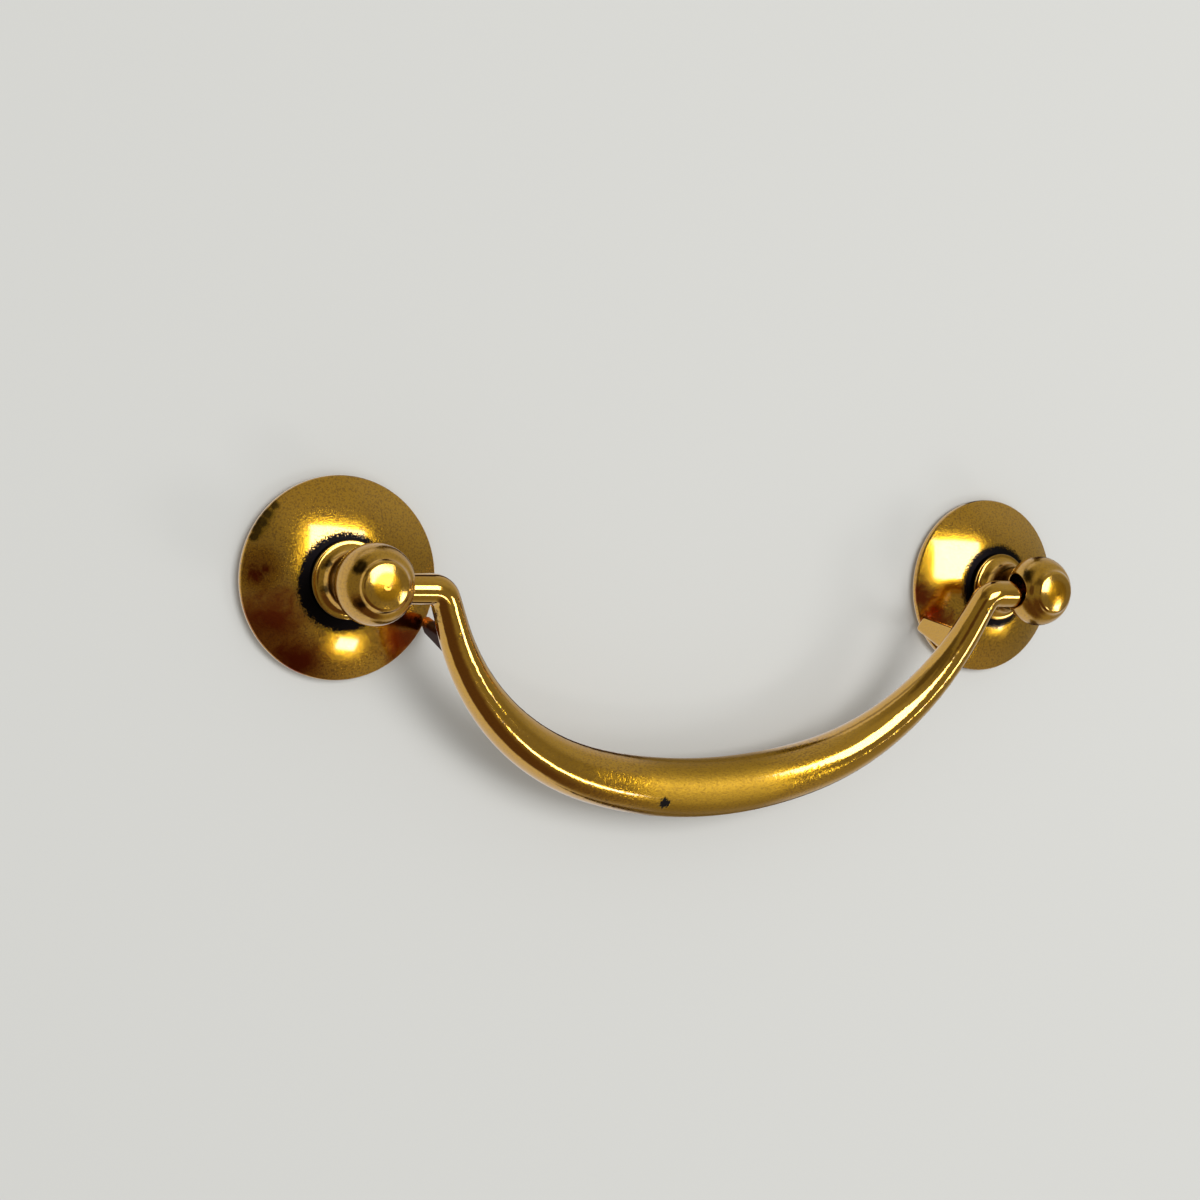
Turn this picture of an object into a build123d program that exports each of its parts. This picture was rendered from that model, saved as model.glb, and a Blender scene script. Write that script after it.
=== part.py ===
"""Drop bail pull for a drawer front: swelled bail, two ball posts, two domed rosettes, two screws."""
from build123d import *
from math import acos, cos, degrees, pi, radians, sin, sqrt, tan
import os

# Frame: X runs along the pull, Z is up, and the drawer front is the plane Y = 0.
# The pull stands out towards -Y. The origin lies midway between the two screws.
# Heights are distances out from the drawer front.

# Drawer front and screws
hole_spacing = 101.6
front_thickness = 19.05
screw_length = 25.4
thread_major_dia = 4.166
thread_pitch_dia = 3.65
thread_clearance = 0.03
shank_past_front = 0.05
screw_tip_chamfer = 0.4
head_dia = 9.5
head_height = 2.2
head_edge = 0.5
slot_width = 1.1
slot_depth = 1.0
cross_length = 4.4
cross_depth = 1.5
cross_taper = 12.0

# Rosette
rosette_dia = 25.4
rosette_rim_height = 1.3
rosette_crown_height = 4.6
rosette_wall = 2.0
rosette_seat_dia = 10.0
rim_front_round = 0.4
rim_back_round = 0.8

# Post
spigot_dia = 7.0
spigot_clearance = 0.1
spigot_recess = 0.3
bore_web = 0.84
tap_point_angle = 118.0
collar_foot_dia = 9.0
collar_dia = 9.78
collar_thickness = 0.9
collar_lip = 0.35
collar_land = 0.2
collar_edge_round = 0.18
flare_height = 2.3
neck_dia = 6.4
ball_dia = 9.92
ball_thickness = 8.08
ball_height = 13.2
cove_dia = 7.6
cove_sag = 0.15
cove_edge_round = 1.5
button_dia = 5.9
button_rim_rise = 3.6
button_crown_radius = 9.2
button_edge_round = 0.6
pin_setback = 0.4
pin_hole_dia = 4.9
pin_hole_depth = 5.1
pin_hole_round = 0.15

# Bail, drawn flat in its own plane
pin_dia = 3.76
pin_reach = 4.3
pin_seat_gap = 0.08
pin_show = 2.44
pin_tip_chamfer = 0.4
elbow_radius = 2.1
leg_length = 4.1
shoulder_angle = 50.7
bow_half_angle = 16.65
bail_drop = 27.9
grip_dia = 7.9
swell_power = 1.32
grip_sections = 25
rest_lean = 14.7

# Stop lug behind each leg
lug_drop = 7.6
lug_outset = 0.6
lug_thickness = 1.4
lug_root_width = 4.2
lug_tip_width = 2.3
lug_edge_round = 0.6
stop_gap = 0.15

# Sizes that follow from the ones above
rosette_radius = rosette_dia / 2
dome_sag = rosette_crown_height - rosette_rim_height
dome_radius = (rosette_radius**2 + dome_sag**2) / (2 * dome_sag)
dome_centre_height = rosette_crown_height - dome_radius
rosette_hole_radius = spigot_dia / 2 + spigot_clearance
tapped_radius = thread_pitch_dia / 2 + thread_clearance
pin_radius = pin_dia / 2
pin_height = ball_height - pin_setback
pin_drop = (pin_hole_dia - pin_dia) / 2 - pin_seat_gap
elbow_end_x = hole_spacing / 2 - ball_dia / 2 - pin_show
leg_angle = bow_half_angle + shoulder_angle


def dome_height(radius, inset=0.0):
    """Height of the rosette's dome at a radius; inset steps in to the hollow underneath."""
    return dome_centre_height + sqrt((dome_radius - inset) ** 2 - radius**2)


seat_height = dome_height(rosette_seat_dia / 2)
collar_top = seat_height + collar_thickness
flare_top = collar_top + flare_height


def post_plane(side):
    """Half-section plane of one post: local x is the radius, local y the height off the front."""
    return Plane(origin=(side * hole_spacing / 2, 0, 0), x_dir=(1, 0, 0), z_dir=(0, 0, -1))


def post_axis(side):
    return Axis((side * hole_spacing / 2, 0, 0), (0, 1, 0))


def make_rosette(side):
    """Domed plate, hollow behind, with a flat seat and a plain hole at the crown."""
    hollow_radius = sqrt((dome_radius - rosette_wall) ** 2 - dome_centre_height**2)
    seat_radius = rosette_seat_dia / 2
    with BuildPart() as rosette:
        with BuildSketch(post_plane(side)) as section:
            with BuildLine():
                Line((rosette_hole_radius, seat_height), (seat_radius, seat_height))
                RadiusArc(
                    (seat_radius, seat_height), (rosette_radius, rosette_rim_height), dome_radius
                )
                Line((rosette_radius, rosette_rim_height), (rosette_radius, 0))
                Line((rosette_radius, 0), (hollow_radius, 0))
                RadiusArc(
                    (hollow_radius, 0),
                    (rosette_hole_radius, dome_height(rosette_hole_radius, rosette_wall)),
                    -(dome_radius - rosette_wall),
                )
                Line(
                    (rosette_hole_radius, dome_height(rosette_hole_radius, rosette_wall)),
                    (rosette_hole_radius, seat_height),
                )
            make_face()
            back = section.vertices().sort_by_distance((rosette_radius, 0))[0]
            fillet(back, rim_back_round)
            front = section.vertices().sort_by_distance((rosette_radius, rosette_rim_height))[0]
            fillet(front, rim_front_round)
        revolve(axis=post_axis(side))
    return rosette


def make_post(side):
    """Turned post: spigot, flared collar, neck, flattened ball, cove and domed button."""
    neck_radius = neck_dia / 2
    collar_radius = collar_dia / 2
    ball_radius = ball_dia / 2
    half_ball = ball_thickness / 2
    flare_centre = collar_radius - collar_land
    cove_radius = cove_dia / 2
    button_radius = button_dia / 2
    neck_angle = degrees(acos(neck_radius / ball_radius))
    cove_angle = degrees(acos(cove_radius / ball_radius))
    ball_foot = ball_height - half_ball * sin(radians(neck_angle))
    cove_start = ball_height + half_ball * sin(radians(cove_angle))
    button_rim = ball_height + button_rim_rise
    button_top = button_rim + button_crown_radius - sqrt(button_crown_radius**2 - button_radius**2)
    bore_tip = pin_height - pin_hole_dia / 2 - bore_web
    tapped_depth = bore_tip - tapped_radius / tan(radians(tap_point_angle / 2))
    with BuildPart() as post:
        with BuildSketch(post_plane(side)) as section:
            with BuildLine():
                Polyline(
                    (0, bore_tip),
                    (tapped_radius, tapped_depth),
                    (tapped_radius, spigot_recess),
                    (spigot_dia / 2, spigot_recess),
                    (spigot_dia / 2, seat_height),
                    (collar_foot_dia / 2, seat_height),
                    (collar_radius, collar_top - collar_lip),
                    (collar_radius, collar_top),
                    (flare_centre, collar_top),
                )
                EllipticalCenterArc(
                    (flare_centre, flare_top),
                    flare_centre - neck_radius,
                    flare_height,
                    start_angle=270,
                    arc_size=-90,
                )
                Line((neck_radius, flare_top), (neck_radius, ball_foot))
                EllipticalCenterArc(
                    (0, ball_height),
                    ball_radius,
                    half_ball,
                    start_angle=-neck_angle,
                    arc_size=neck_angle + cove_angle,
                )
                SagittaArc((cove_radius, cove_start), (button_radius, button_rim), cove_sag)
                RadiusArc((button_radius, button_rim), (0, button_top), -button_crown_radius)
                Line((0, button_top), (0, bore_tip))
            make_face()
            lip = section.vertices().sort_by_distance((collar_radius, collar_top))[0]
            fillet(lip, collar_edge_round)
            rim = section.vertices().sort_by_distance((button_radius, button_rim))[0]
            fillet(rim, button_edge_round)
            cove_edge = section.vertices().sort_by_distance((cove_radius, cove_start))[0]
            fillet(cove_edge, cove_edge_round)
        revolve(axis=post_axis(side))
        with BuildSketch(Plane((side * elbow_end_x, -pin_height, 0), z_dir=(side, 0, 0))):
            Circle(pin_hole_dia / 2)
        extrude(amount=pin_show + pin_hole_depth, mode=Mode.SUBTRACT)
        fillet(post.edges(Select.LAST).filter_by(GeomType.CIRCLE, reverse=True), pin_hole_round)
    return post


def make_screw(side):
    """Truss-head machine screw. The thread is drawn as its pitch cylinder where the post holds it."""
    major_radius = thread_major_dia / 2
    pitch_radius = thread_pitch_dia / 2
    tip = screw_length - front_thickness
    seat = -front_thickness
    crown = seat - head_height
    edge = seat - head_edge
    dome_rise = edge - crown
    with BuildPart() as screw:
        with BuildSketch(post_plane(side)):
            with BuildLine():
                Polyline(
                    (0, tip),
                    (pitch_radius - screw_tip_chamfer, tip),
                    (pitch_radius, tip - screw_tip_chamfer),
                    (pitch_radius, shank_past_front),
                    (major_radius, shank_past_front),
                    (major_radius, seat),
                    (head_dia / 2, seat),
                    (head_dia / 2, edge),
                )
                RadiusArc(
                    (head_dia / 2, edge),
                    (0, crown),
                    ((head_dia / 2) ** 2 + dome_rise**2) / (2 * dome_rise),
                )
                Line((0, crown), (0, tip))
            make_face()
        revolve(axis=post_axis(side))
        with BuildSketch(Plane((side * hole_spacing / 2, -crown, 0), z_dir=(0, -1, 0))):
            Rectangle(2 * head_dia, slot_width)
        extrude(amount=slot_depth, mode=Mode.SUBTRACT)
        with BuildSketch(Plane((side * hole_spacing / 2, -crown, 0), z_dir=(0, -1, 0))):
            Rectangle(cross_length, slot_width)
            Rectangle(slot_width, cross_length)
        extrude(amount=cross_depth, taper=cross_taper, mode=Mode.SUBTRACT)
    return screw


def bow_and_shoulder_radii():
    """Radii that carry the bail from its middle out to the elbows at the stated drop."""
    bow, end = radians(bow_half_angle), radians(leg_angle)
    reach = elbow_end_x - leg_length * cos(end) - elbow_radius * sin(end)
    rise = bail_drop - leg_length * sin(end) - elbow_radius * (1 - cos(end))
    across = (sin(bow), sin(end) - sin(bow))
    up = (1 - cos(bow), cos(bow) - cos(end))
    span = across[0] * up[1] - across[1] * up[0]
    return (reach * up[1] - rise * across[1]) / span, (rise * across[0] - reach * up[0]) / span


bow_radius, shoulder_radius = bow_and_shoulder_radii()
lean = radians(rest_lean)
bail_plane = Plane(
    origin=(0, -pin_height, -pin_drop), x_dir=(1, 0, 0), z_dir=(0, -cos(lean), -sin(lean))
)


def grip_radius(share):
    """Section radius, from the middle of the grip (share 0) out to the elbow (share 1)."""
    swell = cos(pi / 2 * min(share, 1)) ** swell_power
    return pin_radius + (grip_dia / 2 - pin_radius) * swell


def make_lug_plane():
    """Plane across the right leg's lug: local x up the leg, local z outwards, -y to the front."""
    bow = radians(bow_half_angle)
    centre_x = (bow_radius - shoulder_radius) * sin(bow)
    centre_y = bow_radius - bail_drop - (bow_radius - shoulder_radius) * cos(bow)
    slope = acos((centre_y + lug_drop) / shoulder_radius)
    reach = shoulder_radius + lug_outset
    root = (centre_x + reach * sin(slope), centre_y - reach * cos(slope), 0)
    along = bail_plane.from_local_coords(Vector(cos(slope), sin(slope), 0)) - bail_plane.origin
    across = bail_plane.from_local_coords(Vector(sin(slope), -cos(slope), 0)) - bail_plane.origin
    return Plane(origin=bail_plane.from_local_coords(root), x_dir=along, z_dir=across)


def lug_length(lug_plane):
    """Distance from the bail's plane at which the lug's rounded nose is stop_gap off the dome."""
    corner = lug_plane.from_local_coords(
        (lug_tip_width / 2 - lug_edge_round, 0, lug_thickness / 2 - lug_edge_round)
    )
    to_centre = Vector(hole_spacing / 2, -dome_centre_height, 0) - corner
    along = -to_centre.dot(lug_plane.y_dir)
    clear = dome_radius + lug_edge_round + stop_gap
    return along - sqrt(clear**2 - to_centre.length**2 + along**2) + lug_edge_round


lug_plane = make_lug_plane()
lug_reach = lug_length(lug_plane)

with BuildLine(bail_plane) as elbow_line:
    elbow = JernArc((elbow_end_x, 0), (-1, 0), elbow_radius, leg_angle)
with BuildLine(bail_plane) as grip_line:
    bow = JernArc((0, -bail_drop), (1, 0), bow_radius, bow_half_angle)
    shoulder = JernArc(bow @ 1, bow % 1, shoulder_radius, shoulder_angle)
    Line(shoulder @ 1, shoulder @ 1 + (shoulder % 1) * leg_length)
    mirror(about=Plane.YZ)
grip_path = grip_line.wires()[0]

with BuildPart() as right_end:
    with BuildSketch(lug_plane):
        with BuildLine():
            Polyline(
                (-lug_root_width / 2, 0),
                (-lug_tip_width / 2, -lug_reach),
                (lug_tip_width / 2, -lug_reach),
                (lug_root_width / 2, 0),
                close=True,
            )
        make_face()
    extrude(amount=lug_thickness / 2, both=True)
    root_face = right_end.faces().sort_by(Axis(lug_plane.origin, lug_plane.y_dir))[-1]
    fillet(right_end.edges() - root_face.edges(), lug_edge_round)
    with BuildSketch(Plane(origin=elbow @ 0, z_dir=elbow % 0)):
        Circle(pin_radius)
    sweep(path=elbow)
    with BuildSketch(Plane(origin=elbow @ 0, z_dir=(1, 0, 0))):
        Circle(pin_radius)
    extrude(amount=pin_show + pin_reach)
    chamfer(right_end.faces().sort_by(Axis.X)[-1].edges(), pin_tip_chamfer)

with BuildPart() as bail:
    for step in range(grip_sections):
        at = step / (grip_sections - 1)
        with BuildSketch(
            Plane(origin=grip_path @ at, x_dir=-bail_plane.z_dir, z_dir=grip_path % at)
        ):
            Circle(grip_radius(abs(2 * at - 1)))
    loft()
    add(right_end.part)
    mirror(right_end.part, about=Plane.YZ)

bail.part.label = "bail"
os.makedirs("parts", exist_ok=True)
export_step(bail.part, "parts/bail.step")
for side, name in ((-1, "left"), (1, "right")):
    rosette = make_rosette(side)
    rosette.part.label = f"{name}_rosette"
    export_step(rosette.part, f"parts/{name}_rosette.step")
    post = make_post(side)
    post.part.label = f"{name}_post"
    export_step(post.part, f"parts/{name}_post.step")
    screw = make_screw(side)
    screw.part.label = f"{name}_screw"
    export_step(screw.part, f"parts/{name}_screw.step")
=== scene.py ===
"""Looks of the drop bail pull: aged brass, threaded steel screws, backboard, lamps, studio and camera."""

import math

import bmesh
import bpy
from mathutils import Matrix, Quaternion, Vector


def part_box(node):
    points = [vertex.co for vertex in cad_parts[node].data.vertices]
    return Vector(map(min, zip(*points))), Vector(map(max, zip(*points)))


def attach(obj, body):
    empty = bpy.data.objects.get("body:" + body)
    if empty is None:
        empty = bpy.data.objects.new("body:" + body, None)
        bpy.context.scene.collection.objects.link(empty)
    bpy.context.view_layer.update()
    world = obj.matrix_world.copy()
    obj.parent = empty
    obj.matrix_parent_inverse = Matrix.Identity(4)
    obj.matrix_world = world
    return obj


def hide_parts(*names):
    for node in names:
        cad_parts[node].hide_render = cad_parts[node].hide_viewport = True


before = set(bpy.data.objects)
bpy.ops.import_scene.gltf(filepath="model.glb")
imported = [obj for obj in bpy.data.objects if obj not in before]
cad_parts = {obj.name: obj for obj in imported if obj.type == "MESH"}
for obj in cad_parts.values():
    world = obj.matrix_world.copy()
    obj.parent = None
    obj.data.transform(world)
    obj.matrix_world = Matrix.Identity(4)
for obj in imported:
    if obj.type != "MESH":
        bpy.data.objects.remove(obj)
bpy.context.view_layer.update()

# Lengths are in metres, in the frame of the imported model: drawer front at y = 0, pull towards -y
MM = 0.001
POST_SPACING = 101.6 * MM
FRONT_THICKNESS = 19.05 * MM

# Along a post, measured out from the drawer front
COLLAR_FOOT = 5.0 * MM
NECK_FOOT = 6.1 * MM
NECK_TOP = 10.3 * MM
BUTTON_FOOT = 16.0 * MM

# Radii about a post: the neck's painted shade, the button's dull middle, its pip and the black ring's
# edge
NECK_REACH = 4.1 * MM
DULL_RADIUS = 1.7 * MM
PIP_TOP = 0.05 * MM
PIP_FOOT = 0.9 * MM
BLACK_RING_FULL = 6.0 * MM
BLACK_RING_GONE = 6.5 * MM

# The 8-32 screw, with its thread's radius at each share of the pitch
SCREW_MAJOR_RADIUS = 2.083 * MM
SCREW_ROOT_RADIUS = 1.6 * MM
THREAD_PITCH = 0.794 * MM
TIP_CHAMFER = 0.4 * MM
HEAD_MARGIN = 0.01 * MM
WELD_REACH = 0.001 * MM
STEPS_PER_TURN = 48
THREAD_PROFILE = (
    (0.0, SCREW_ROOT_RADIUS),
    (0.3125, SCREW_MAJOR_RADIUS),
    (0.4375, SCREW_MAJOR_RADIUS),
    (0.75, SCREW_ROOT_RADIUS),
    (1.0, SCREW_ROOT_RADIUS),
)

# The board: half its side, and its place just behind the plane that the rosettes sit on
BOARD_HALF = 0.9
BOARD_Y = 0.15 * MM

# The camera, solved from the outlines of the rosettes and posts in the photograph
CAMERA_PLACE = Vector((-131.0, -217.5, 12.7)) * MM
CAMERA_VIEW = Vector((0.4742, 0.8782, -0.0618))
CAMERA_UP = Vector((-0.0052, 0.0729, 0.9973))
CAMERA_FOCAL_PIXELS = 1854
CAMERA_NEAR = 0.01
CAMERA_FAR = 10
PHOTO_PIXELS = 1200
SENSOR_WIDTH = 36

# Finishes, and the colours of painted shade and painted reflection, as linear colours
BOARD_COLOUR = (0.58, 0.58, 0.56, 1)
BRASS_PALE = (0.82, 0.47, 0.02, 1)
BRASS_DEEP = (0.72, 0.38, 0.006, 1)
BRASS_SPECK = (0.36, 0.16, 0.008, 1)
BRASS_DULL = (0.40, 0.26, 0.045, 1)
OXIDE_RED = (0.26, 0.018, 0.004, 1)
# The next colour is painted shade: a dark brown laid on the left lug, inside the left elbow and in the
# posts' necks
PAINTED_SHADE_BROWN = (0.045, 0.010, 0.004, 1)
# The next colour is black oxide and patina, and also the painted dark reflections on the posts' balls and
# collars
OXIDE_AND_REFLECTION_BLACK = (0.006, 0.005, 0.006, 1)
COPPER_ORANGE = (0.75, 0.25, 0.03, 1)
STEEL_DARK = (0.46, 0.46, 0.47, 1)
STEEL_PALE = (0.68, 0.68, 0.67, 1)
LACQUER_IOR = 1.9
OXIDE_SPECULAR = 0.1

# Most values of a noise lie in NOISE_SPAN, and the brown specks come in over SPECK_SPAN
NOISE_SPAN = (0.3, 0.7)
SPECK_SPAN = (0.45, 0.68)
BRASS_CLOUD = 5 * MM

# Distances from the pull's middle plane at which the bail's wear is full, and at which it is gone
GRIP_WORN = (12 * MM, 27 * MM)
GRIP_HANDLED = (6 * MM, 15 * MM)

# The bail: sizes of its patterns, depths of its relief, what wear adds to or takes from the finish, and
# the roughness where painted shade lies
BAIL_GRAIN = 0.42 * MM
BAIL_WAVES = 2.2 * MM
BAIL_SPECKS = 0.2 * MM
BAIL_GRAIN_DEPTH = 0.035 * MM
BAIL_WAVE_DEPTH = 0.03 * MM
BAIL_PIT_DEPTH = 0.2 * MM
BAIL_STRETCH = (0.5, 1, 1)
BAIL_RAGGED = 2.4 * MM
PIT_RAGGED = 0.6
BAIL_SPECK_SHARE = (0.2, 0.8)
BAIL_GRAIN_SHARE = (0.12, 1.0)
LEG_ROUGHNESS = 0.07
WORN_ROUGHNESS = 0.19
WAVE_ROUGHNESS = 0.03
HANDLED_ROUGHNESS = 0.30
PAINTED_SHADE_ROUGHNESS = 0.5
HANDLED_DULLING = 0.6
HANDLED_LACQUER_LOSS = 0.8

# The posts
POST_GRAIN = 0.3 * MM
POST_CLOUD = 1.4 * MM
POST_SPECKS = 0.28 * MM
POST_GRAIN_DEPTH = 0.012 * MM
PIP_DEPTH = 0.02 * MM
POST_ROUGHNESS = 0.12
DULL_ROUGHNESS = 0.13
POST_LACQUER_ROUGHNESS = 0.13
# Share of painted shade in the necks, following a noise
NECK_PAINTED_SHADE_SHARE = (0.65, 0.98)
BUTTON_DULLING = 0.6
BUTTON_LACQUER_LOSS = 0.8
# Strength of the painted dark reflections on the balls and collars
PAINTED_REFLECTION_DARKNESS = 0.9
NECK_FADE = 0.5 * MM
COLLAR_FADE = (-0.1 * MM, 0.2 * MM)
BALL_END_FADE = (0.2 * MM, 0.8 * MM)
BUTTON_FADE = 0.4 * MM
DULL_FADE = 0.3 * MM
POST_RAGGED_SIZE = 0.9 * MM
POST_RAGGED = 1.6 * MM
POST_SPECK_SHARE = 0.35

# The rosettes
ROSETTE_GRAIN = 0.17 * MM
ROSETTE_BLUR = 2.2 * MM
ROSETTE_SPECKS = 0.26 * MM
ROSETTE_GRAIN_DEPTH = 0.016 * MM
ROSETTE_ROUGHNESS = (0.07, 0.12)
ROSETTE_GRAIN_SPAN = (0.35, 0.65)
ROSETTE_LACQUER_ROUGHNESS = 0.09
BLACK_ROUGHNESS = 0.35
RED_STRENGTH = 0.92
RED_LACQUER_LOSS = 0.8
STREAK_DARKNESS = 0.9
ROSETTE_SPECK_SHARE = 0.75
RING_SCATTER = 2.6 * MM
PATCH_RAGGED = 6 * MM
STREAK_RAGGED = 0.25
PATCH_SOFTNESS = 0.8
FRONT_FACING = (0.0, -0.2)

# The screws
STEEL_CLOUD = 1.5 * MM
STEEL_GRAIN = 0.2 * MM
STEEL_GRAIN_DEPTH = 0.01 * MM
STEEL_ROUGHNESS = (0.28, 0.42)

# Marks on the old brass, and places of painted shade and painted reflection: the place of each, and its
# radius, in millimetres
BLACK_RING_CENTRES = ((-51.1, -4.6, -0.4), (50.8, -4.6, 0.0))
OXIDE_PATCHES = (
    ((-60.0, -2.6, -4.6), 3.4),
    ((-61.3, -2.4, 0.4), 0.8),
    ((-56.6, -2.1, -9.8), 2.6),
    ((-42.6, -2.2, -7.4), 2.8),
    ((39.0, -1.6, -1.8), 2.0),
    ((41.3, -2.3, -4.4), 2.2),
)
RIM_STREAK = (
    ((-59.6, -1.6, 8.6), 0.6),
    ((-60.3, -1.6, 7.7), 0.9),
    ((-61.0, -1.6, 6.7), 0.9),
    ((-61.6, -1.6, 5.8), 0.7),
    ((-62.0, -1.6, 4.9), 0.5),
)
# Painted reflections of the camera: dark spots on the balls and collars
POST_PAINTED_REFLECTIONS = (
    ((-53.6, -15.8, 2.0), 0.8),
    ((-53.5, -15.8, -2.0), 0.8),
    ((-54.4, -5.8, 2.0), 0.6),
    ((-54.4, -6.0, -1.0), 0.7),
    ((47.3, -14.9, 2.2), 0.8),
    ((47.2, -15.0, -0.6), 0.6),
)
CASTING_NODULES = (
    ((-39.6, -13.4, -6.2), 0.3),
    ((41.1, -14.1, -2.9), 0.3),
)
# Painted shade laid on the left lug and inside the left elbow
LEFT_LUG_SHADE = ((-40.2, -5.2, -6.4), 4.4)
LEFT_ELBOW_SHADE = ((-42.4, -11.6, -3.4), 1.2)
LUG_ORANGE = ((-39.6, -3.4, -4.9), 0.9)
GRIP_PIT = ((-7.7, -9.3, -28.7), 0.75)

# Lamps hang at one distance from the frame's origin, which lies on the drawer front between the posts
LAMP_DISTANCE = 1.0

# The studio as linear colours, each laid over those before it: diffuse rays see only SOFT_LIGHT, and
# the camera only SEEN_WALLS
ROOM = (0.22, 0.19, 0.10, 1)
ROOM_HIGH_RIGHT = (0.37, 0.34, 0.22, 1)
ROOM_ABOVE_KEY = (0.33, 0.29, 0.15, 1)
ROOM_FLOOR = (0.31, 0.26, 0.13, 1)
ROOM_SIDES = (0.46, 0.42, 0.35, 1)
ROOM_LOW_LEFT = (0.10, 0.055, 0.03, 1)
PALE_WALL = (0.62, 0.59, 0.57, 1)
DARK_GAP = (0.03, 0.014, 0.008, 1)
DARK_CAMERA = (0.09, 0.055, 0.03, 1)
SOFT_LIGHT = (0.60, 0.60, 0.59, 1)
SEEN_WALLS = (0.80, 0.80, 0.78, 1)

# Places in the studio, as azimuth and elevation, and round patches there, as the cosines of the angle
# from the middle at which a patch begins and at which it is full
HIGH_RIGHT = ((90, 55), (0.55, 0.9))
ABOVE_KEY = ((5, 40), (0.86, 0.97))
LOW_LEFT = ((-45, -62), (0.62, 0.92))
HIGH_LEFT = ((-65, 42), (0.94, 0.98))
CAMERA_SPOT = ((-30, 2), (0.96, 0.99))
CEILING = (2, 65.5)
BACK_CORNER = (-130, 0)

# Edges of the floor, the sides and the pale wall: from none to full, in height, in depth towards the
# board, or as cosines from the ceiling's middle (ARC) and from the back corner (CORNER, SIDE)
FLOOR_HEIGHT = (-0.35, -0.75)
SIDES_DEPTH = (-0.1, 0.35)
WALL_DEPTH = (-0.05, 0.1)
WALL_ARC = (0.72, 0.64)
WALL_CORNER = (-0.1, 0.1)
WALL_SIDE = (0.0, 0.05)
WALL_SIDE_DEPTH = (0.0, 0.1)

# The dark gap round the pale wall: an arc at one cosine from the ceiling's middle, and one side
GAP_ARC_COSINE = 0.685
GAP_ARC_WIDTH = (0.05, 0.08)
GAP_ARC_CORNER = (-0.3, -0.05)
GAP_ARC_STRENGTH = 0.5
GAP_SIDE_WIDTH = (0.08, 0.12)
GAP_SIDE_DEPTH = (0.2, 0.3)
GAP_SIDE_TOP = (0.74, 0.70)
HIGH_LEFT_STRENGTH = 0.6


class Graph:
    """Short calls for building a node tree."""

    def __init__(self, tree):
        self.tree = tree
        tree.nodes.clear()

    def node(self, kind, inputs=None, **settings):
        made = self.tree.nodes.new(kind)
        for name, value in settings.items():
            setattr(made, name, value)
        for key, value in (inputs or {}).items():
            self.feed(made.inputs[key], value)
        return made

    def feed(self, socket, value):
        if isinstance(value, bpy.types.NodeSocket):
            self.tree.links.new(value, socket)
        else:
            socket.default_value = value

    def math(self, operation, a, b=0.0):
        return self.node("ShaderNodeMath", {0: a, 1: b}, operation=operation).outputs[0]

    def plus(self, a, b):
        return self.math("ADD", a, b)

    def minus(self, a, b):
        return self.math("SUBTRACT", a, b)

    def times(self, a, b):
        return self.math("MULTIPLY", a, b)

    def absolute(self, a):
        return self.math("ABSOLUTE", a)

    def most(self, *values):
        top = values[0]
        for value in values[1:]:
            top = self.math("MAXIMUM", top, value)
        return top

    def least(self, a, b):
        return self.math("MINIMUM", a, b)

    def ramp(self, value, low, high, to_low=0.0, to_high=1.0):
        inputs = {"Value": value, "From Min": low, "From Max": high, "To Min": to_low, "To Max": to_high}
        return self.node("ShaderNodeMapRange", inputs, interpolation_type="SMOOTHSTEP").outputs[0]

    def fade(self, value, full, gone):
        """1 up to full, 0 past gone."""
        return self.ramp(value, full, gone, 1.0, 0.0)

    def between(self, mask, at_none, at_full):
        """A value that follows a mask from at_none to at_full."""
        return self.ramp(mask, 0.0, 1.0, at_none, at_full)

    def noise(self, place, size, detail=3.0, roughness=0.5, distortion=0.0):
        inputs = {
            "Vector": place,
            "Scale": 1 / size,
            "Detail": detail,
            "Roughness": roughness,
            "Distortion": distortion,
        }
        return self.node("ShaderNodeTexNoise", inputs).outputs["Fac"]

    def wander(self, noise, span):
        """A noise as a length that strays to both sides of zero."""
        return self.times(self.minus(noise, 0.5), span)

    def mix(self, share, a, b):
        made = self.node("ShaderNodeMix", {0: share}, data_type="RGBA")
        self.feed(made.inputs[6], a)
        self.feed(made.inputs[7], b)
        return made.outputs[2]

    def vector(self, operation, a, b):
        return self.node("ShaderNodeVectorMath", {0: a, 1: b}, operation=operation).outputs

    def distance(self, place, point):
        return self.vector("DISTANCE", place, tuple(point))["Value"]

    def place(self):
        return self.node("ShaderNodeTexCoord").outputs["Object"]

    def axes(self, vector):
        return self.node("ShaderNodeSeparateXYZ", {0: vector}).outputs

    def blot(self, place, mark, ragged=0.0, softness=0.5):
        """1 inside a mark, 0 outside; ragged moves its edge in and out."""
        centre, radius = mark
        away = self.plus(self.distance(place, Vector(centre) * MM), ragged)
        return self.fade(away, radius * (1 - softness) * MM, radius * (1 + softness) * MM)

    def blots(self, place, marks, ragged=0.0, softness=0.5):
        return self.most(*(self.blot(place, mark, ragged, softness) for mark in marks))

    def towards(self, ray, azimuth, elevation):
        """Cosine of the angle between a ray and a direction."""
        return self.vector("DOT_PRODUCT", ray, tuple(direction(azimuth, elevation)))["Value"]

    def patch(self, ray, middle, cosines):
        """Mask of a round patch of the studio."""
        return self.ramp(self.towards(ray, *middle), *cosines)

    def end(self, kind, shader):
        output = self.node(kind)
        self.feed(output.inputs["Surface"], shader.outputs[0])

    def choose(self, share, a, b):
        """Mix two shaders."""
        made = self.node("ShaderNodeMixShader", {0: share})
        self.feed(made.inputs[1], a.outputs[0])
        self.feed(made.inputs[2], b.outputs[0])
        return made


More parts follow.
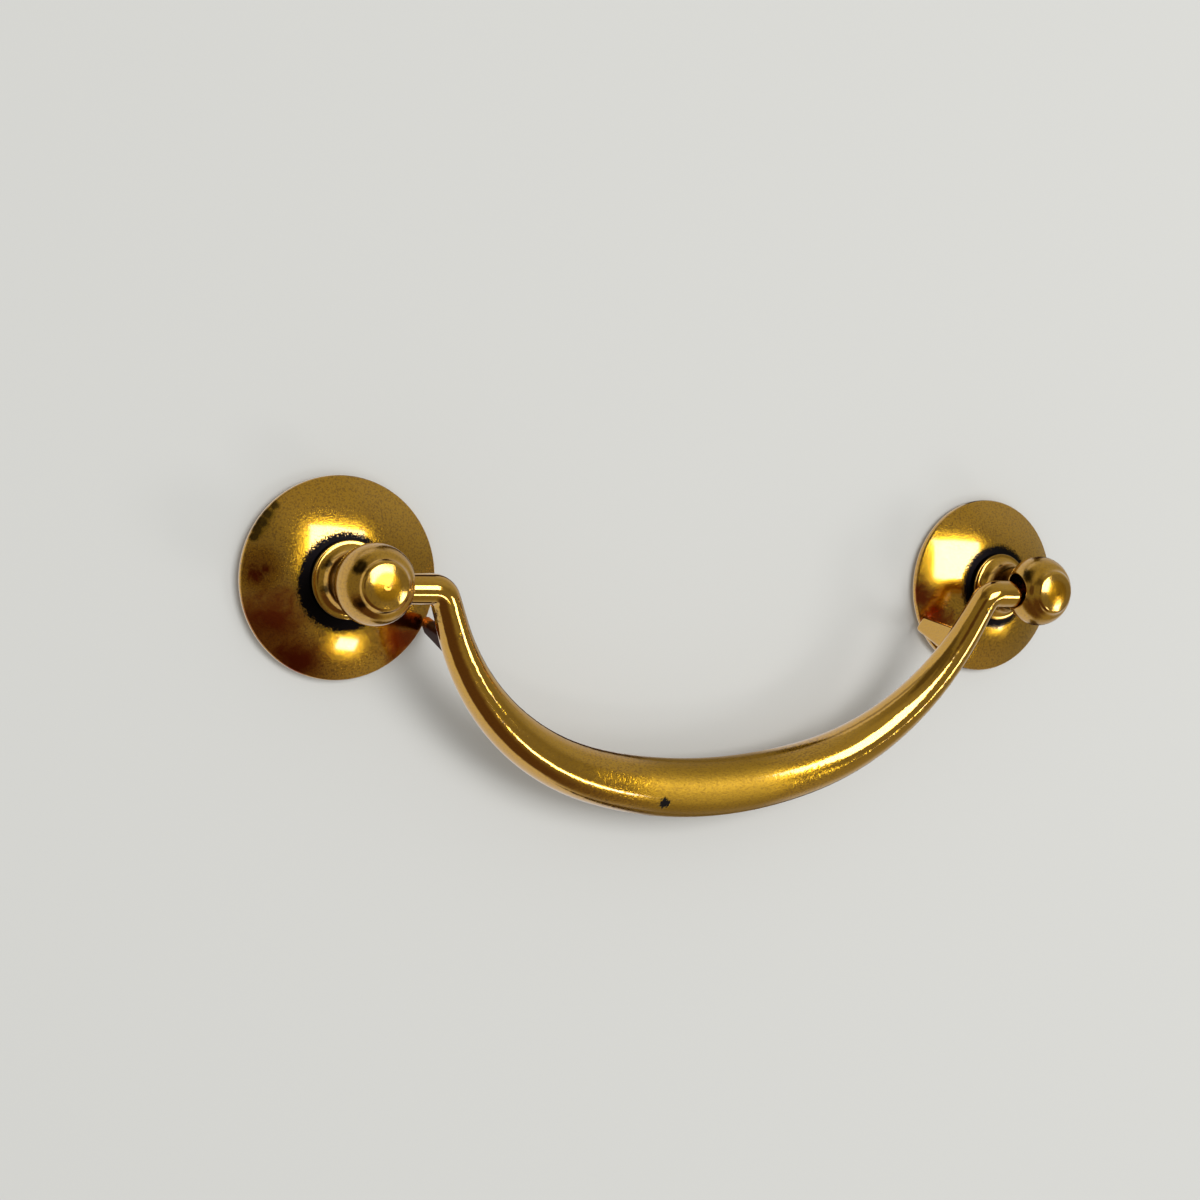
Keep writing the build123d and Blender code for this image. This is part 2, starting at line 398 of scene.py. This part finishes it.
def direction(azimuth, elevation):
    """Unit vector from the pull: azimuth 0 is straight out of the front, positive to the right."""
    a, e = math.radians(azimuth), math.radians(elevation)
    return Vector((math.sin(a) * math.cos(e), -math.cos(a) * math.cos(e), math.sin(e)))


def link(item):
    bpy.context.collection.objects.link(item)
    return item


def make_material(name):
    material = bpy.data.materials.new(name)
    material.use_nodes = True
    return material, Graph(material.node_tree)


def finish_metal(graph, colour, roughness, metallic=1.0, heights=(), lacquer=0.0, lacquer_roughness=0.08):
    """End a material: heights are pairs of a height field and its depth, laid over each other."""
    shader = graph.node(
        "ShaderNodeBsdfPrincipled", {"Base Color": colour, "Roughness": roughness, "Metallic": metallic}
    )
    graph.feed(shader.inputs["Coat Weight"], lacquer)
    shader.inputs["Coat Roughness"].default_value = lacquer_roughness
    shader.inputs["Coat IOR"].default_value = LACQUER_IOR
    shader.inputs["Specular IOR Level"].default_value = OXIDE_SPECULAR
    below = None
    for height, depth in heights:
        bump = graph.node("ShaderNodeBump", {"Height": height, "Distance": depth})
        if below is not None:
            graph.feed(bump.inputs["Normal"], below)
        below = bump.outputs[0]
    if below is not None:
        graph.feed(shader.inputs["Normal"], below)
    graph.end("ShaderNodeOutputMaterial", shader)


def aged_brass(graph, place, speck_size, speck_share):
    """Yellow brass with brown specks and slow changes of tone."""
    specks = graph.noise(place, speck_size, detail=2.0, roughness=0.6)
    cloud = graph.noise(place, BRASS_CLOUD, detail=4.0)
    clean = graph.mix(cloud, BRASS_DEEP, BRASS_PALE)
    return graph.mix(graph.ramp(specks, *SPECK_SPAN, 0.0, speck_share), clean, BRASS_SPECK)


def make_bail_brass():
    """Polished legs and a worn grip, duller where it is held, with painted shade on the left lug and
    inside the left elbow, and one black pit.
    """
    material, graph = make_material("bail_brass_polished")
    place = graph.place()
    across = graph.absolute(graph.axes(place)["X"])
    worn = graph.fade(across, *GRIP_WORN)
    handled = graph.fade(across, *GRIP_HANDLED)
    grain = graph.noise(place, BAIL_GRAIN, detail=2.0, distortion=0.8)
    waves = graph.noise(place, BAIL_WAVES, detail=2.0)

    ragged = graph.wander(grain, BAIL_RAGGED)
    # Painted shade on the left lug and inside the left elbow: dark brown, not metal and without lacquer
    lug_painted_shade = graph.blot(place, LEFT_LUG_SHADE, ragged, softness=0.25)
    elbow_painted_shade = graph.blot(place, LEFT_ELBOW_SHADE, ragged)
    dark = graph.most(lug_painted_shade, elbow_painted_shade)
    orange = graph.blot(place, LUG_ORANGE, ragged)
    pit = graph.blot(place, GRIP_PIT, graph.times(ragged, PIT_RAGGED), softness=0.2)
    nodules = graph.blots(place, CASTING_NODULES)

    along = graph.vector("MULTIPLY", place, BAIL_STRETCH)["Vector"]
    colour = aged_brass(graph, along, BAIL_SPECKS, graph.between(worn, *BAIL_SPECK_SHARE))
    colour = graph.mix(graph.times(handled, HANDLED_DULLING), colour, BRASS_DULL)
    colour = graph.mix(dark, colour, PAINTED_SHADE_BROWN)
    colour = graph.mix(orange, colour, COPPER_ORANGE)
    colour = graph.mix(pit, colour, OXIDE_AND_REFLECTION_BLACK)

    polish = graph.between(worn, LEG_ROUGHNESS, WORN_ROUGHNESS)
    uneven = graph.ramp(waves, *NOISE_SPAN, 0.0, WAVE_ROUGHNESS)
    roughness = graph.plus(graph.plus(polish, uneven), graph.times(handled, HANDLED_ROUGHNESS))
    roughness = graph.plus(roughness, graph.times(dark, PAINTED_SHADE_ROUGHNESS))
    metallic = graph.minus(1.0, graph.most(pit, graph.minus(dark, orange)))
    lacquer = graph.minus(1.0, graph.most(pit, dark, graph.times(handled, HANDLED_LACQUER_LOSS)))
    heights = (
        (graph.times(grain, graph.between(worn, *BAIL_GRAIN_SHARE)), BAIL_GRAIN_DEPTH),
        (waves, BAIL_WAVE_DEPTH),
        (graph.minus(nodules, pit), BAIL_PIT_DEPTH),
    )
    finish_metal(graph, colour, roughness, metallic, heights, lacquer)
    return material


def make_post_brass():
    """Turned and polished, with painted shade and painted dark reflection in the neck, black patina under
    the collar, painted dark reflections of the camera on the ball and collar, and dull on the button's
    middle.
    """
    material, graph = make_material("post_brass_polished")
    place = graph.place()
    axes = graph.axes(place)
    off_axis = graph.minus(graph.absolute(axes["X"]), POST_SPACING / 2)
    flat = graph.node("ShaderNodeCombineXYZ", {"X": off_axis, "Z": axes["Z"]}).outputs[0]
    radius = graph.distance(flat, (0, 0, 0))
    grain = graph.noise(place, POST_GRAIN, detail=3.0)
    cloud = graph.noise(place, POST_CLOUD, detail=4.0)
    ragged = graph.wander(graph.noise(place, POST_RAGGED_SIZE), POST_RAGGED)

    # Painted shade and painted dark reflection in the neck, between the collar and the ball, broken up by
    # a noise
    past_collar = graph.ramp(axes["Y"], -NECK_FOOT, -NECK_FOOT - NECK_FADE)
    before_ball = graph.ramp(axes["Y"], -NECK_TOP - NECK_FADE, -NECK_TOP)
    near_axis = graph.ramp(graph.plus(radius, ragged), NECK_REACH, NECK_REACH - NECK_FADE)
    neck_painted_shade = graph.least(graph.least(past_collar, before_ball), near_axis)
    neck_painted_shade = graph.times(neck_painted_shade, graph.ramp(cloud, *NOISE_SPAN, *NECK_PAINTED_SHADE_SHARE))
    under_collar = graph.ramp(axes["Y"], *(fade - COLLAR_FOOT for fade in COLLAR_FADE))
    # Black: patina under the collar, and painted reflections of the camera as dark spots on the ball and
    # collar
    black = graph.most(under_collar, graph.times(graph.blots(place, POST_PAINTED_REFLECTIONS, ragged), PAINTED_REFLECTION_DARKNESS))
    on_ball = graph.least(
        graph.ramp(axes["Y"], -NECK_TOP + NECK_FADE, -NECK_TOP),
        graph.ramp(axes["Y"], *(fade - BUTTON_FOOT for fade in BALL_END_FADE)),
    )
    on_button = graph.ramp(axes["Y"], -BUTTON_FOOT, -BUTTON_FOOT - BUTTON_FADE)
    in_middle = graph.ramp(radius, DULL_RADIUS + DULL_FADE, DULL_RADIUS - DULL_FADE)
    dull = graph.least(on_button, in_middle)
    pip = graph.least(graph.fade(radius, PIP_TOP, PIP_FOOT), on_button)

    colour = aged_brass(graph, place, POST_SPECKS, POST_SPECK_SHARE)
    colour = graph.mix(graph.times(dull, BUTTON_DULLING), colour, BRASS_SPECK)
    colour = graph.mix(neck_painted_shade, colour, PAINTED_SHADE_BROWN)
    colour = graph.mix(black, colour, OXIDE_AND_REFLECTION_BLACK)
    roughness = graph.plus(graph.times(graph.most(dull, on_ball), DULL_ROUGHNESS), POST_ROUGHNESS)
    lacquer = graph.minus(1.0, graph.most(black, neck_painted_shade, graph.times(dull, BUTTON_LACQUER_LOSS)))
    heights = ((grain, POST_GRAIN_DEPTH), (pip, PIP_DEPTH))
    finish_metal(graph, colour, roughness, 1.0, heights, lacquer, POST_LACQUER_ROUGHNESS)
    return material


def make_rosette_brass():
    """Grainy burnished brass; on the fronts black rings, red-brown patches and one dark streak."""
    material, graph = make_material("rosette_brass_burnished")
    place = graph.place()
    grain = graph.noise(place, ROSETTE_GRAIN, detail=3.0, roughness=0.6)
    blur = graph.noise(place, ROSETTE_BLUR, detail=5.0, roughness=0.6, distortion=0.6)
    outwards = graph.axes(graph.node("ShaderNodeTexCoord").outputs["Normal"])["Y"]
    front = graph.ramp(outwards, *FRONT_FACING)

    left_radius, right_radius = (graph.distance(place, Vector(c) * MM) for c in BLACK_RING_CENTRES)
    radius = graph.plus(graph.least(left_radius, right_radius), graph.wander(grain, RING_SCATTER))
    ring = graph.fade(radius, BLACK_RING_FULL, BLACK_RING_GONE)
    ragged = graph.wander(blur, PATCH_RAGGED)
    streak = graph.blots(place, RIM_STREAK, graph.times(ragged, STREAK_RAGGED))
    black = graph.times(graph.most(ring, graph.times(streak, STREAK_DARKNESS)), front)
    red = graph.times(graph.blots(place, OXIDE_PATCHES, ragged, PATCH_SOFTNESS), front)

    colour = aged_brass(graph, place, ROSETTE_SPECKS, ROSETTE_SPECK_SHARE)
    colour = graph.mix(graph.times(red, RED_STRENGTH), colour, OXIDE_RED)
    colour = graph.mix(black, colour, OXIDE_AND_REFLECTION_BLACK)
    burnished = graph.ramp(grain, *ROSETTE_GRAIN_SPAN, *ROSETTE_ROUGHNESS)
    roughness = graph.plus(burnished, graph.times(black, BLACK_ROUGHNESS))
    lacquer = graph.minus(1.0, graph.most(black, graph.times(red, RED_LACQUER_LOSS)))
    heights = ((grain, ROSETTE_GRAIN_DEPTH),)
    finish_metal(graph, colour, roughness, 1.0, heights, lacquer, ROSETTE_LACQUER_ROUGHNESS)
    return material


def make_screw_steel():
    """Dull zinc-grey steel with a fine grain."""
    material, graph = make_material("screw_steel_zinc")
    place = graph.place()
    cloud = graph.noise(place, STEEL_CLOUD, detail=4.0)
    grain = graph.noise(place, STEEL_GRAIN, detail=3.0)
    colour = graph.mix(cloud, STEEL_DARK, STEEL_PALE)
    roughness = graph.ramp(cloud, *NOISE_SPAN, *STEEL_ROUGHNESS)
    finish_metal(graph, colour, roughness, heights=((grain, STEEL_GRAIN_DEPTH),))
    return material


def make_threaded_screw(name):
    """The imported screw's head on a shank with a real helical thread."""
    lowest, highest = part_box(name)
    tip = lowest[1]
    centre_x = (lowest[0] + highest[0]) / 2
    mesh = bmesh.new()
    mesh.from_mesh(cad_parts[name].data)
    shank = [v for v in mesh.verts if v.co.y < FRONT_THICKNESS - HEAD_MARGIN]
    bmesh.ops.delete(mesh, geom=shank, context="VERTS")
    turns = (FRONT_THICKNESS - tip) / THREAD_PITCH
    rows = []
    for step in range(-STEPS_PER_TURN, int(turns * STEPS_PER_TURN) + 1):
        angle = 2 * math.pi * step / STEPS_PER_TURN
        start = tip + step / STEPS_PER_TURN * THREAD_PITCH
        row = []
        for share, radius in THREAD_PROFILE:
            y = min(max(start + share * THREAD_PITCH, tip), FRONT_THICKNESS)
            held = min(radius, SCREW_ROOT_RADIUS - TIP_CHAMFER + y - tip)
            row.append(mesh.verts.new((centre_x + held * math.cos(angle), y, held * math.sin(angle))))
        rows.append(row)
    for before, after in zip(rows, rows[1:]):
        for k in range(len(THREAD_PROFILE) - 1):
            mesh.faces.new((before[k], before[k + 1], after[k + 1], after[k]))
    bmesh.ops.remove_doubles(mesh, verts=mesh.verts, dist=WELD_REACH)
    data = bpy.data.meshes.new(f"{name}_threaded")
    mesh.to_mesh(data)
    mesh.free()
    piece = link(bpy.data.objects.new(f"{name}_threaded", data))
    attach(piece, "fixed_parts")
    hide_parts(name)
    return piece


def make_board():
    """The pale upright board that the pull is mounted on; seen from behind it is clear."""
    half = BOARD_HALF
    corners = [(x, BOARD_Y, z) for x, z in ((-half, -half), (half, -half), (half, half), (-half, half))]
    data = bpy.data.meshes.new("backboard")
    data.from_pydata(corners, [], [(0, 1, 2, 3)])
    board = link(bpy.data.objects.new("backboard", data))
    material, graph = make_material("backboard_paper")
    paper = graph.node("ShaderNodeBsdfDiffuse", {"Color": BOARD_COLOUR})
    clear = graph.node("ShaderNodeBsdfTransparent")
    behind = graph.node("ShaderNodeNewGeometry").outputs["Backfacing"]
    graph.end("ShaderNodeOutputMaterial", graph.choose(behind, paper, clear))
    data.materials.append(material)
    board.visible_glossy = False


def make_softbox(name, azimuth, elevation, width, height, brightness, tilt=0):
    """A rectangular lamp turned by tilt degrees, whose face has the given brightness (1 is white)."""
    light = bpy.data.lights.new(name, "AREA")
    light.shape = "RECTANGLE"
    light.size = width
    light.size_y = height
    light.energy = brightness * math.pi * width * height
    lamp = link(bpy.data.objects.new(name, light))
    lamp.location = direction(azimuth, elevation) * LAMP_DISTANCE
    lamp.rotation_mode = "QUATERNION"
    roll = Quaternion((0, 0, 1), math.radians(tilt))
    lamp.rotation_quaternion = lamp.location.to_track_quat("Z", "Y") @ roll


def wall_and_gap(graph, ray):
    """Masks of the pale wall that stands for the board in reflections, and of the gap along its edge."""
    depth = graph.axes(ray)["Y"]
    from_ceiling = graph.towards(ray, *CEILING)
    from_corner = graph.towards(ray, *BACK_CORNER)
    past_arc = graph.least(graph.ramp(from_ceiling, *WALL_ARC), graph.ramp(from_corner, *WALL_CORNER))
    past_side = graph.least(graph.ramp(from_corner, *WALL_SIDE), graph.ramp(depth, *WALL_SIDE_DEPTH))
    wall = graph.least(graph.most(past_arc, past_side), graph.ramp(depth, *WALL_DEPTH))
    from_arc = graph.absolute(graph.minus(from_ceiling, GAP_ARC_COSINE))
    arc = graph.least(graph.fade(from_arc, *GAP_ARC_WIDTH), graph.ramp(from_corner, *GAP_ARC_CORNER))
    under_arc = graph.least(graph.ramp(depth, *GAP_SIDE_DEPTH), graph.ramp(from_ceiling, *GAP_SIDE_TOP))
    side = graph.least(graph.fade(graph.absolute(from_corner), *GAP_SIDE_WIDTH), under_arc)
    high_left = graph.patch(ray, *HIGH_LEFT)
    gap = graph.most(graph.times(arc, GAP_ARC_STRENGTH), side, graph.times(high_left, HIGH_LEFT_STRENGTH))
    return wall, gap


def make_world():
    """The studio around the pull, by direction; the camera itself sees plain pale walls.

    The board is hidden from reflections, so the pale wall here stands for it, with a dark gap
    along its edge, the room beyond the gap and a dark spot where the camera stands.
    """
    world = bpy.data.worlds.new("studio")
    world.use_nodes = True
    bpy.context.scene.world = world
    graph = Graph(world.node_tree)
    ray = graph.node("ShaderNodeTexCoord").outputs["Generated"]
    axes = graph.axes(ray)
    paths = graph.node("ShaderNodeLightPath").outputs
    wall, gap = wall_and_gap(graph, ray)
    layers = (
        (graph.patch(ray, *HIGH_RIGHT), ROOM_HIGH_RIGHT),
        (graph.patch(ray, *ABOVE_KEY), ROOM_ABOVE_KEY),
        (graph.ramp(axes["Z"], *FLOOR_HEIGHT), ROOM_FLOOR),
        (graph.ramp(axes["Y"], *SIDES_DEPTH), ROOM_SIDES),
        (graph.patch(ray, *LOW_LEFT), ROOM_LOW_LEFT),
        (wall, PALE_WALL),
        (gap, DARK_GAP),
        (graph.patch(ray, *CAMERA_SPOT), DARK_CAMERA),
        (paths["Is Diffuse Ray"], SOFT_LIGHT),
    )
    colour = ROOM
    for mask, layer in layers:
        colour = graph.mix(mask, colour, layer)
    room = graph.node("ShaderNodeBackground", {"Color": colour, "Strength": 1.0})
    seen = graph.node("ShaderNodeBackground", {"Color": SEEN_WALLS, "Strength": 1.0})
    graph.end("ShaderNodeOutputWorld", graph.choose(paths["Is Camera Ray"], room, seen))


def make_camera():
    data = bpy.data.cameras.new("camera")
    data.sensor_width = SENSOR_WIDTH
    data.lens = CAMERA_FOCAL_PIXELS / PHOTO_PIXELS * SENSOR_WIDTH
    data.clip_start = CAMERA_NEAR
    data.clip_end = CAMERA_FAR
    camera = link(bpy.data.objects.new("camera", data))
    back = -CAMERA_VIEW.normalized()
    side = CAMERA_UP.cross(back).normalized()
    up = back.cross(side)
    turn = Matrix((side, up, back)).transposed()
    camera.matrix_world = Matrix.Translation(CAMERA_PLACE) @ turn.to_4x4()
    bpy.context.scene.camera = camera


bail_brass = make_bail_brass()
post_brass = make_post_brass()
rosette_brass = make_rosette_brass()
screw_steel = make_screw_steel()
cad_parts["bail"].material_slots[0].material = bail_brass
for side in ("left", "right"):
    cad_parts[f"{side}_post"].material_slots[0].material = post_brass
    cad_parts[f"{side}_rosette"].material_slots[0].material = rosette_brass
    screw = make_threaded_screw(f"{side}_screw")
    screw.data.materials.append(screw_steel)

make_board()
make_softbox("key_light", azimuth=11, elevation=13, width=0.58, height=0.46, brightness=6.8, tilt=-8)
make_softbox("low_light", azimuth=25, elevation=-39, width=0.20, height=0.11, brightness=7.5)
make_softbox("side_light", azimuth=49, elevation=-17, width=0.20, height=0.22, brightness=7.0)
make_world()
make_camera()
bpy.context.scene.view_settings.view_transform = "Standard"
